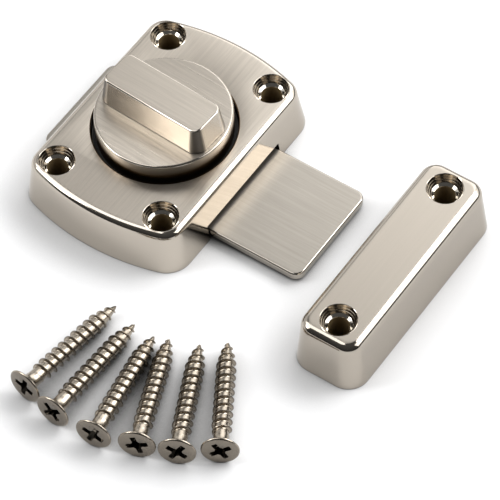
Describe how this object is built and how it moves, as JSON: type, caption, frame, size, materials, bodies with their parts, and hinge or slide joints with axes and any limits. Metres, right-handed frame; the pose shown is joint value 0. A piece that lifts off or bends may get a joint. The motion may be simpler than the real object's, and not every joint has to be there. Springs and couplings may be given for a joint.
{
  "type": "door latch",
  "caption": "Surface door latch: a turn knob with a bar grip on a low case with bowed ends drives a flat sliding bolt towards a box keeper. Loose wood screws lie beside it.",
  "frame": {"origin": "centre of the case's screw-hole pattern, in the plane of its back face", "axes": "+X the way the bolt is thrown, +Y along the case, +Z away from the door, towards the knob"},
  "size_m": [0.1021, 0.1084, 0.0241],
  "materials": {
    "case_nickel": "brushed nickel, grain along the case, polished edges",
    "knob_nickel": "brushed nickel, grain along the grip bar",
    "bolt_nickel": "fine brushed nickel, grain along the bolt",
    "keeper_nickel": "satin nickel, polished edges",
    "wood_screws": "bright plated",
    "small_screws": "zinc plated",
    "zinc_plate": "zinc-plated sheet",
    "works_steel": "plain turned and stamped steel",
    "spring_steel": "hardened spring strip",
    "bush_brass": "turned brass",
    "black_fibre": "black vulcanised fibre"
  },
  "bodies": {
    "latch": {"case": "case_nickel", "back_plate": "zinc_plate", "back_plate_screws": "small_screws", "spindle_bush": "bush_brass", "friction_washer": "black_fibre", "detent_spring": "spring_steel", "detent_posts": "zinc_plate", "keeper": "keeper_nickel", "wood_screw_1": "wood_screws", "wood_screw_2": "wood_screws", "wood_screw_3": "wood_screws", "wood_screw_4": "wood_screws", "wood_screw_5": "wood_screws", "wood_screw_6": "wood_screws"},
    "knob": {"knob_disc": "knob_nickel", "knob_grip": "knob_nickel", "grip_screws": "small_screws", "spindle": "works_steel", "crank": "works_steel", "drive_pin": "works_steel", "crank_washer": "spring_steel", "crank_screw": "small_screws"},
    "bolt_plate": {"bolt": "bolt_nickel"}
  },
  "joints": [
    {"name": "knob_turn", "type": "hinge", "parent": "latch", "child": "knob", "pos_m": [0, 0, 0], "axis": [0, 0, 1], "range_deg": [0, 90]},
    {"name": "bolt_slide", "type": "slide", "parent": "latch", "child": "bolt_plate", "axis": [-1, 0, 0], "range_m": [0, 0.0156]}
  ],
  "couplings": [
    {"joint": "bolt_slide", "follows": "knob_turn", "m_per_rad": 0.009931}
  ]
}
